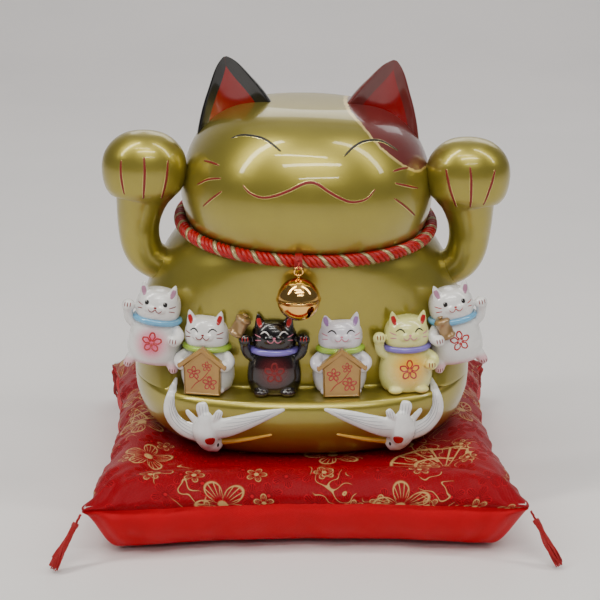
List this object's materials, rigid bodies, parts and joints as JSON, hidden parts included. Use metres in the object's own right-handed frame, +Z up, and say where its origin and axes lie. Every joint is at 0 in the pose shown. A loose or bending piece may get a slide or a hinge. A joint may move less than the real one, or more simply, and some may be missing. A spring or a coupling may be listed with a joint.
{
  "type": "figurine",
  "caption": "Seated glazed cat figurine with both paws raised, small relief figures on its belly, a rope collar with a swinging bell, standing on a square tasselled cushion.",
  "frame": {"origin": "on the floor under the middle of the cushion", "axes": "+Z up, the cat looks along -Y, +X towards its left paw"},
  "size_m": [0.2322, 0.2254, 0.2143],
  "materials": {
    "brocade": "red satin brocade with beige-gold flowers",
    "satin": "plain red satin",
    "wadding": "white polyester wadding",
    "thread_red": "twisted rayon thread",
    "rope": "red satin cord twisted with gold metallic strands",
    "gold_glaze": "pearl gold paint under a clear gloss coat",
    "black_glaze": "gloss black with dark red inside",
    "brown_glaze": "gloss maroon brown with dark red inside",
    "white_glaze": "white glaze with painted details",
    "lilac_glaze": "pale lilac glaze with painted details",
    "yellow_glaze": "yellow-green glaze with painted details",
    "plaque_glaze": "gold-brown paint with red blossoms",
    "bell_gold": "mirror gold plate",
    "steel": "polished steel"
  },
  "bodies": {
    "cushion": {"cushion_bottom_cover": "satin", "cushion_top_cover": "brocade", "cushion_filling": "wadding", "tassel_front_left": "thread_red", "tassel_front_right": "thread_red", "tassel_back_left": "thread_red", "tassel_back_right": "thread_red"},
    "cat": {"body_casting": "gold_glaze", "head_casting": "gold_glaze", "left_ear": "black_glaze", "right_ear": "brown_glaze", "left_arm": "gold_glaze", "right_arm": "gold_glaze", "collar_rope": "rope", "rope_knot": "rope", "bell_tie": "thread_red", "mini_cat_far_left": "white_glaze", "mini_cat_white": "white_glaze", "mini_cat_black": "black_glaze", "mini_cat_lilac": "lilac_glaze", "mini_cat_yellow": "yellow_glaze", "mini_cat_far_right": "white_glaze", "plaque_left": "plaque_glaze", "plaque_right": "plaque_glaze", "mallet_left": "plaque_glaze", "mallet_right": "plaque_glaze", "crane_left": "white_glaze", "crane_right": "white_glaze"},
    "bell_ring": {"split_ring": "bell_gold"},
    "bell": {"bell_upper_shell": "bell_gold", "bell_lower_shell": "bell_gold", "bell_loop": "bell_gold"},
    "pellet": {"bell_pellet": "steel"}
  },
  "joints": [
    {"name": "cat_lift_off", "type": "slide", "parent": "cushion", "child": "cat", "axis": [0, 0, 1], "range_m": [0, 0.1]},
    {"name": "ring_swing", "type": "hinge", "parent": "cat", "child": "bell_ring", "pos_m": [-0.0027, -0.062, 0.12778], "axis": [0, 1, 0], "range_deg": [-35, 35]},
    {"name": "bell_swing", "type": "hinge", "parent": "bell_ring", "child": "bell", "pos_m": [-0.0027, -0.062, 0.12494], "axis": [-1, 0, 0], "range_deg": [0, 45]},
    {"name": "pellet_roll", "type": "hinge", "parent": "bell", "child": "pellet", "pos_m": [-0.0027, -0.062, 0.1138], "axis": [0, 1, 0], "range_deg": [-60, 60]}
  ]
}
